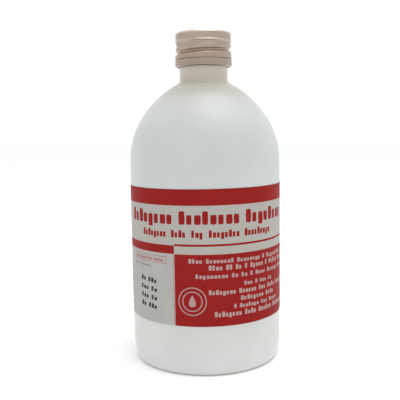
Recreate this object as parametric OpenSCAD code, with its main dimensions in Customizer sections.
// Round 500 ml solution bottle with a rolled-on, pilfer-proof screw cap.
// Millimetres, +Z up, origin on the bottle's axis at the surface it stands on.
// The front of the label faces -Y.

/* [Bottle body] */
// Outside diameter of the body
body_d = 76; // [72:0.5:78]
// Height where the shoulder starts to curve in
shoulder_z = 101; // [98:0.5:104]
// Radius of the lower shoulder arc
shoulder_r = 39; // [38.5:0.5:41]
// Angle through which the lower shoulder arc turns
shoulder_turn = 33; // [30:1:36]
// Radius of the flatter crown arc above it
crown_r = 50.3; // [50:0.1:52]
// Wall thickness of the body
wall = 1.2; // [0.9:0.1:1.5]
// Radius of the corner at the standing ring
heel_r = 2.2; // [1.8:0.2:2.6]
// Radius of the arc that rounds the foot
foot_arc_r = 31; // [28:1:36]
// Height where the foot arc meets the straight side
foot_z = 11; // [10:0.5:12]
// Width of the flat standing ring
ring_w = 2.6; // [2:0.2:3.4]
// Height of the hollow pushed up in the base
push_up = 3; // [2:0.5:4]

/* [Neck finish] */
// Outside radius of the plain neck
neck_r = 12.05; // [11.9:0.05:12.2]
// Radius of the bore through the neck
bore_r = 10.2; // [10:0.1:10.4]
// Fillet between neck and shoulder
neck_fillet_r = 2.2; // [1.5:0.1:3]
// Radius of the thread's root
root_r = 12.45; // [12.4:0.05:12.5]
// Radius of the thread's crest
crest_r = 13.45; // [13.35:0.05:13.5]
// Radius of the locking bead that keeps the broken band on the neck
bead_r = 13.7; // [13.5:0.05:13.8]
// Thread pitch, eight turns to the inch
pitch = 3.175;

/* [Cap] */
// Height of the cap's top above the standing surface
cap_top = 164.3; // [164.1:0.1:164.5]
// Outside radius of the smooth band at the top of the cap
cap_r = 14; // [13.95:0.05:14.05]
// Thickness of the aluminium
sheet = 0.25; // [0.22:0.01:0.28]
// Depth of the smooth band
smooth_h = 4.9; // [4.7:0.1:5]
// Outside radius of the knurled band
knurl_r = 13.6; // [13.55:0.05:13.65]
// Depth of the cap down to its perforation
skirt_h = 13.4; // [13.2:0.1:13.5]
// Depth of the whole closure down to the band's lip
closure_h = 17.1; // [16.9:0.1:17.3]
// Outside radius of the pilfer band
band_r = 14.3; // [14.2:0.05:14.4]
// Number of bridges that held the band to the cap
bridges = 8; // [6:1:12]

/* [Label] */
// Height of the label's lower edge
label_z = 24.2; // [22:0.2:28]
// Height of the label itself
label_h = 65.2; // [60:0.2:68]
// Thickness of the label
label_t = 0.1; // [0.08:0.01:0.15]
// Angle by which the label's ends overlap at the back
label_lap = 9; // [6:1:14]

/* [Contents] */
// Level of the solution
fill_z = 124.4; // [90:0.2:124.6]

/* [Hidden] */
$fn = 96;

body_r = body_d / 2;
gap = 0.03;             // film of air or glue between pieces that lie face to face
facing_t = 0.15;        // film on the liner's sealing side
foam_t = 1.35;          // foam wad above it
flange_t = 0.9;         // insert's flange on the rim
liner_r = cap_r - sheet - 0.37;     // a little wider than the cap's retaining step
liner_top = cap_top - sheet - gap;
rim_z = liner_top - foam_t - facing_t - flange_t - 3 * gap;

// Foot: the corner arc and the foot arc touch at the angle heel_a.
foot_cx = body_r - foot_arc_r;
heel_a = -asin((foot_z - heel_r) / (foot_arc_r - heel_r));
heel_cx = foot_cx + (foot_arc_r - heel_r) * cos(heel_a);
ring_in = heel_cx - ring_w;
push_r = (ring_in * ring_in + push_up * push_up) / (2 * push_up);

// Shoulder: the crown arc is tangent to the lower arc at shoulder_turn.
shoulder_cx = body_r - shoulder_r;
crown_cx = shoulder_cx + (shoulder_r - crown_r) * cos(shoulder_turn);
crown_cz = shoulder_z + (shoulder_r - crown_r) * sin(shoulder_turn);
fillet_x = neck_r + neck_fillet_r;
fillet_a = acos((fillet_x - crown_cx) / (crown_r + neck_fillet_r));
fillet_z = crown_cz + (crown_r + neck_fillet_r) * sin(fillet_a);

// Locking bead
bead_low = cap_top - 16;
bead_high = cap_top - 13.3;
bead_slope = bead_r - root_r;

// Thread: the cap's groove lies half a pitch below the ridge on the neck.
groove_front = 8.7;     // depth of the groove's middle below the cap's top, at +X
groove_half = 1.35;     // half the groove's width
groove_r = 12.9;        // outside radius at the bottom of the groove
ridge_root = 2.1;       // ridge width at its root
ridge_crest = 0.9;      // ridge width at its crest
ridge_from = -540;      // angle where the ridge starts
ridge_to = 30;          // angle where it ends
ridge_fade = 30;        // angle over which each end runs out
ridge_step = 7.5;
root_sink = 0.4;        // depth to which the ridge is buried in the neck

function arc(cx, cz, r, a0, a1, n) =
    [for (i = [0:n]) let (a = a0 + (a1 - a0) * i / n) [cx + r * cos(a), cz + r * sin(a)]];

// Two triangles of a four-cornered face
function quad(a, b, c, d) = [[a, b, c], [a, c, d]];

// Outline of the body from the standing ring to the neck, moved inwards by t.
function side_line(t, top_a) = concat(
    arc(heel_cx, heel_r, heel_r - t, -90, heel_a, 5),
    arc(foot_cx, foot_z, foot_arc_r - t, heel_a * 5 / 6, 0, 5),
    arc(shoulder_cx, shoulder_z, shoulder_r - t, 0, shoulder_turn, 10),
    arc(crown_cx, crown_cz, crown_r - t, shoulder_turn * 1.08, top_a, 9));

// Outline of the base from the axis to the standing ring, moved inwards by t.
function base_line(t) = let (a = asin(ring_in / push_r))
    arc(0, push_up - push_r, push_r + t, 90, 90 - a, 6);

// Outline of everything inside a wall of thickness t, closed along the axis at the height top_z.
function inside_line(t, top_z) = concat(
    base_line(t),
    side_line(t, acos((bore_r - (t - wall) - crown_cx) / (crown_r - t))),
    [[bore_r - (t - wall), top_z], [0, top_z]]);

module bottle() {
    rim_round = 0.5;
    color("gainsboro") union() {
        rotate_extrude() difference() {
            polygon(concat(
                base_line(0),
                side_line(0, fillet_a),
                arc(fillet_x, fillet_z, neck_fillet_r, 180 + fillet_a, 180, 5),
                [[neck_r, bead_low - (root_r - neck_r)],
                 [bead_r, bead_low + bead_slope],
                 [bead_r, bead_high - bead_slope],
                 [root_r, bead_high]],
                arc(root_r - rim_round, rim_z - rim_round, rim_round, 0, 90, 4),
                [[0, rim_z]]));
            polygon(inside_line(wall, rim_z + 1));
        }
        neck_thread();
    }
}

// Height of the middle of the ridge at the angle a.
function ridge_z(a) = cap_top - groove_front + pitch / 2 + pitch * a / 360;

// Four corners of the ridge's section at the angle a; its height runs out at both ends.
function ridge_section(a) = let (
        run = min(1, min(a - ridge_from, ridge_to - a) / ridge_fade),
        out = root_r - root_sink / 2 + (crest_r - root_r + root_sink / 2) * max(run, 0.02),
        flare = (ridge_root - ridge_crest) / (crest_r - root_r),
        foot = ridge_root / 2 + flare * root_sink / 2,
        tip = foot - flare / 2 * (out - root_r + root_sink))
    [for (p = [[root_r - root_sink, -foot], [out, -tip], [out, tip], [root_r - root_sink, foot]])
        [p[0] * cos(a), p[0] * sin(a), ridge_z(a) + p[1]]];

module neck_thread() {
    n = round((ridge_to - ridge_from) / ridge_step);
    pts = [for (i = [0:n], p = ridge_section(ridge_from + i * ridge_step)) p];
    faces = [for (i = [0:n - 1], k = [0:3]) let (a = 4 * i + k, b = 4 * i + (k + 1) % 4)
        each quad(a, b, b + 4, a + 4)];
    polyhedron(pts, concat(faces, quad(3, 2, 1, 0), quad(4 * n, 4 * n + 1, 4 * n + 2, 4 * n + 3)));
}

// Press-in insert: flange on the rim, sealing barrel in the bore, nozzle with a small outlet.
module neck_insert() {
    barrel_r = bore_r - gap;
    barrel_t = 1;
    depth = 8.5;
    floor_t = 1.1;
    nozzle_h = 5;
    nozzle_low_r = 3.2;
    nozzle_top_r = 2.3;
    outlet_r = 1.6;
    lead = 0.6;
    base = rim_z + gap;
    low = base - depth;
    color("ghostwhite") rotate_extrude() polygon([
        [outlet_r, low], [barrel_r - lead, low], [barrel_r, low + 2 * lead], [barrel_r, base],
        [root_r - gap, base], [root_r - gap, base + flange_t - 0.2],
        [root_r - gap - 0.2, base + flange_t], [barrel_r - barrel_t, base + flange_t],
        [barrel_r - barrel_t, low + floor_t], [nozzle_low_r, low + floor_t],
        [nozzle_top_r, low + nozzle_h], [outlet_r, low + nozzle_h]]);
}

module solution() {
    skin = 0.15;
    color("aliceblue") rotate_extrude() intersection() {
        polygon(inside_line(wall + skin, rim_z));
        square([body_r, fill_z]);
    }
}

// Wrap-around label; its ends overlap at the back.
module label() {
    r = body_r + gap;
    color("firebrick") union() {
        rotate_extrude() translate([r, label_z]) square([label_t, label_h]);
        rotate([0, 0, 90 - label_lap / 2]) rotate_extrude(angle = label_lap)
            translate([r + label_t / 2, label_z]) square([label_t, label_h]);
    }
}

module liner_core() {
    color("whitesmoke") translate([0, 0, liner_top - foam_t]) cylinder(r = liner_r, h = foam_t);
}

module liner_facing() {
    color("lightgrey") translate([0, 0, liner_top - foam_t - facing_t - gap])
        cylinder(r = liner_r, h = facing_t);
}

// Depth of the rolled groove at the angle a, from 0 at its faded ends to 1.
function groove_run(a) = a < -200 ? max(0, (a + 340) / 140)
    : a < 60 ? 1
    : a < 140 ? 1 - 0.7 * (a - 60) / 80
    : max(0, 0.3 * (400 - a) / 260);

// Share of the groove's depth at depth d and angle a, the most of any of its turns.
function pressed(d, a) = max([for (turn = [-2:1])
    let (b = a + 360 * turn, u = (d - groove_front + pitch * b / 360) / groove_half)
    abs(u) < 1 ? groove_run(b) * (1 + cos(180 * u)) / 2 : 0]);

// Radius of the threaded wall's outside at depth d and angle a; it widens a little downwards.
function skirt_r(d, a) = let (
        rise = min(1, max(0, (d - smooth_h - 0.4) / 2)),
        land = cap_r - 0.15 + 0.3 * min(1, max(0, (d - 7) / 5)),
        r = knurl_r - 0.02 + (land - knurl_r + 0.02) * rise)
    r - (r - groove_r) * pressed(d, a);

// Point t inside the wall's outside, measured square to it.
function skirt_point(d, a, t) = let (
        e = 0.05,
        slope = (skirt_r(d + e, a) - skirt_r(d - e, a)) / (2 * e),
        n = sqrt(1 + slope * slope),
        r = skirt_r(d, a) - t / n)
    [r * cos(a), r * sin(a), cap_top - d - t * slope / n];

// Cap: drawn top with a smooth band and a retaining step, then the threaded skirt.
module cap_shell() {
    corner = 0.6;
    step_h = 0.4;
    in_r = cap_r - sheet;
    knurl_in = knurl_r - 0.3;
    low = cap_top - smooth_h - step_h;
    step_z = cap_top - smooth_h;
    color("silver") union() {
        rotate_extrude() difference() {
            polygon(concat([[0, low], [knurl_r, low], [cap_r, step_z]],
                arc(cap_r - corner, cap_top - corner, corner, 0, 90, 6), [[0, cap_top]]));
            polygon(concat([[-1, low - 1], [knurl_in, low - 1], [knurl_in, low], [in_r, step_z]],
                arc(cap_r - corner, cap_top - corner, corner - sheet, 0, 90, 6),
                [[-1, cap_top - sheet]]));
        }
        threaded_skirt(smooth_h + step_h - 0.12);
    }
}

module threaded_skirt(top_d) {
    n = 60;
    rows = 24;
    low_d = skirt_h - 0.15;
    function depth(j) = top_d + (low_d - top_d) * j / rows;
    outside = [for (j = [0:rows], i = [0:n - 1]) skirt_point(depth(j), 360 * i / n, 0)];
    inside = [for (j = [0:rows], i = [0:n - 1])
        let (p = skirt_point(depth(j), 360 * i / n, sheet)) j == 0 || j == rows
            ? [p[0], p[1], cap_top - depth(j)] : p];
    m = n * (rows + 1);
    faces = [for (i = [0:n - 1]) let (k = (i + 1) % n) each concat(
        [for (j = [0:rows - 1]) each quad(j * n + i, j * n + k, j * n + n + k, j * n + n + i)],
        [for (j = [0:rows - 1]) each quad(m + j * n + i, m + j * n + n + i, m + j * n + n + k,
                                          m + j * n + k)],
        quad(i, m + i, m + k, k),
        quad(m - n + i, m - n + k, 2 * m - n + k, 2 * m - n + i))];
    polyhedron(concat(outside, inside), faces);
}

// Band left on the neck when the cap is first opened, with the stubs of its bridges.
module pilfer_band() {
    top = cap_top - skirt_h - 0.25;
    low = cap_top - closure_h;
    stub_w = 1.1;
    stub_h = 0.2;
    tuck = 1.5;         // how far the lip turns in under the locking bead
    curl = 1.3;         // height over which it turns
    in_r = band_r - sheet;
    color("silver") union() {
        rotate_extrude() polygon([[in_r, top], [band_r, top], [band_r, low + curl],
            [band_r - 0.35, low + curl * 0.4], [band_r - tuck * 0.7, low + 0.05], [band_r - tuck, low],
            [band_r - tuck, low + sheet], [band_r - tuck * 0.7, low + sheet + 0.05],
            [in_r - 0.3, low + curl * 0.4 + sheet], [in_r, low + curl + 0.1]]);
        for (i = [0:bridges - 1]) rotate([0, 0, 360 * (i + 0.5) / bridges])
            translate([in_r + 0.02, -stub_w / 2, top - 0.5]) cube([sheet - 0.06, stub_w, stub_h + 0.5]);
    }
}

bottle();
neck_insert();
solution();
label();
liner_core();
liner_facing();
cap_shell();
pilfer_band();
